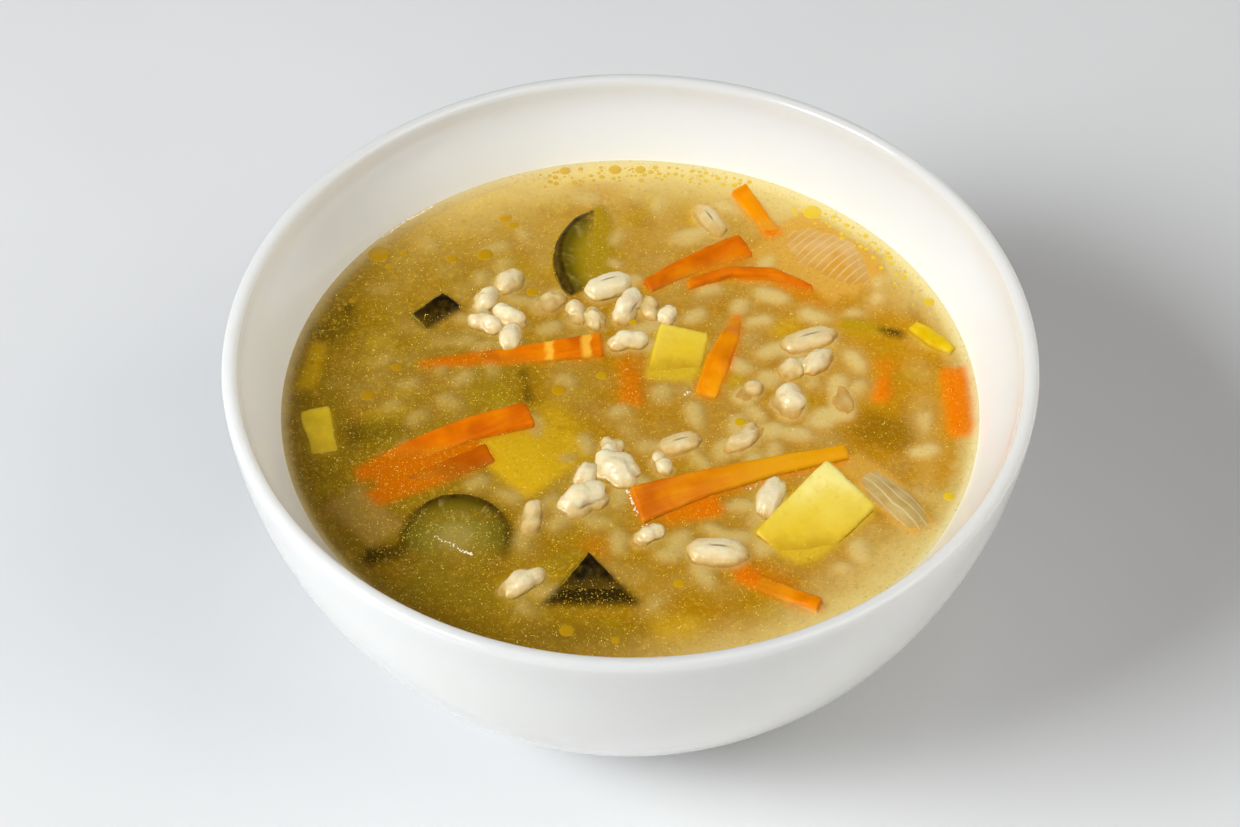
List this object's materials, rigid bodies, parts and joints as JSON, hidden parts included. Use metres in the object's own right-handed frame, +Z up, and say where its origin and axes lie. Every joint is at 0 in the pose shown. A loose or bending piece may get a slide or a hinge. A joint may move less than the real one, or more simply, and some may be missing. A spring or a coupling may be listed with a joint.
{
  "type": "bowl of pickle soup",
  "caption": "Deep white bowl of cloudy golden soup with carrot sticks, potato dice, pickle pieces, onion and pearl barley showing at its surface.",
  "frame": {"origin": "centre of the foot ring's resting plane, on the bowl's axis", "axes": "+Z up along the bowl's axis, -Y towards the viewer of the picture, +X to the viewer's right"},
  "size_m": [0.1396, 0.1396, 0.0672],
  "materials": {
    "porcelain": "smooth white glaze",
    "broth": "cloudy broth with a wet, oily surface",
    "carrot": "boiled carrot, moist",
    "potato": "boiled potato, soft and moist",
    "pickle": "pickled cucumber, olive flesh and dark green skin",
    "onion": "boiled onion, translucent and veined",
    "barley": "cooked pearl barley, plump and moist",
    "oil": "golden oil drops on the broth"
  },
  "bodies": {
    "root": {"bowl": "porcelain", "broth": "broth", "carrot_striped": "carrot", "carrot_long": "carrot", "carrot_left_upper": "carrot", "carrot_left_lower": "carrot", "carrot_leaning": "carrot", "carrot_bent": "carrot", "carrot_arc": "carrot", "carrot_back": "carrot", "carrot_front": "carrot", "potato_front": "potato", "potato_middle": "potato", "potato_left": "potato", "potato_strip": "potato", "pickle_quarter": "pickle", "pickle_slice": "pickle", "pickle_skin_diamond": "pickle", "pickle_skin_wedge": "pickle", "onion_back": "onion", "onion_front": "onion"}
  },
  "joints": []
}
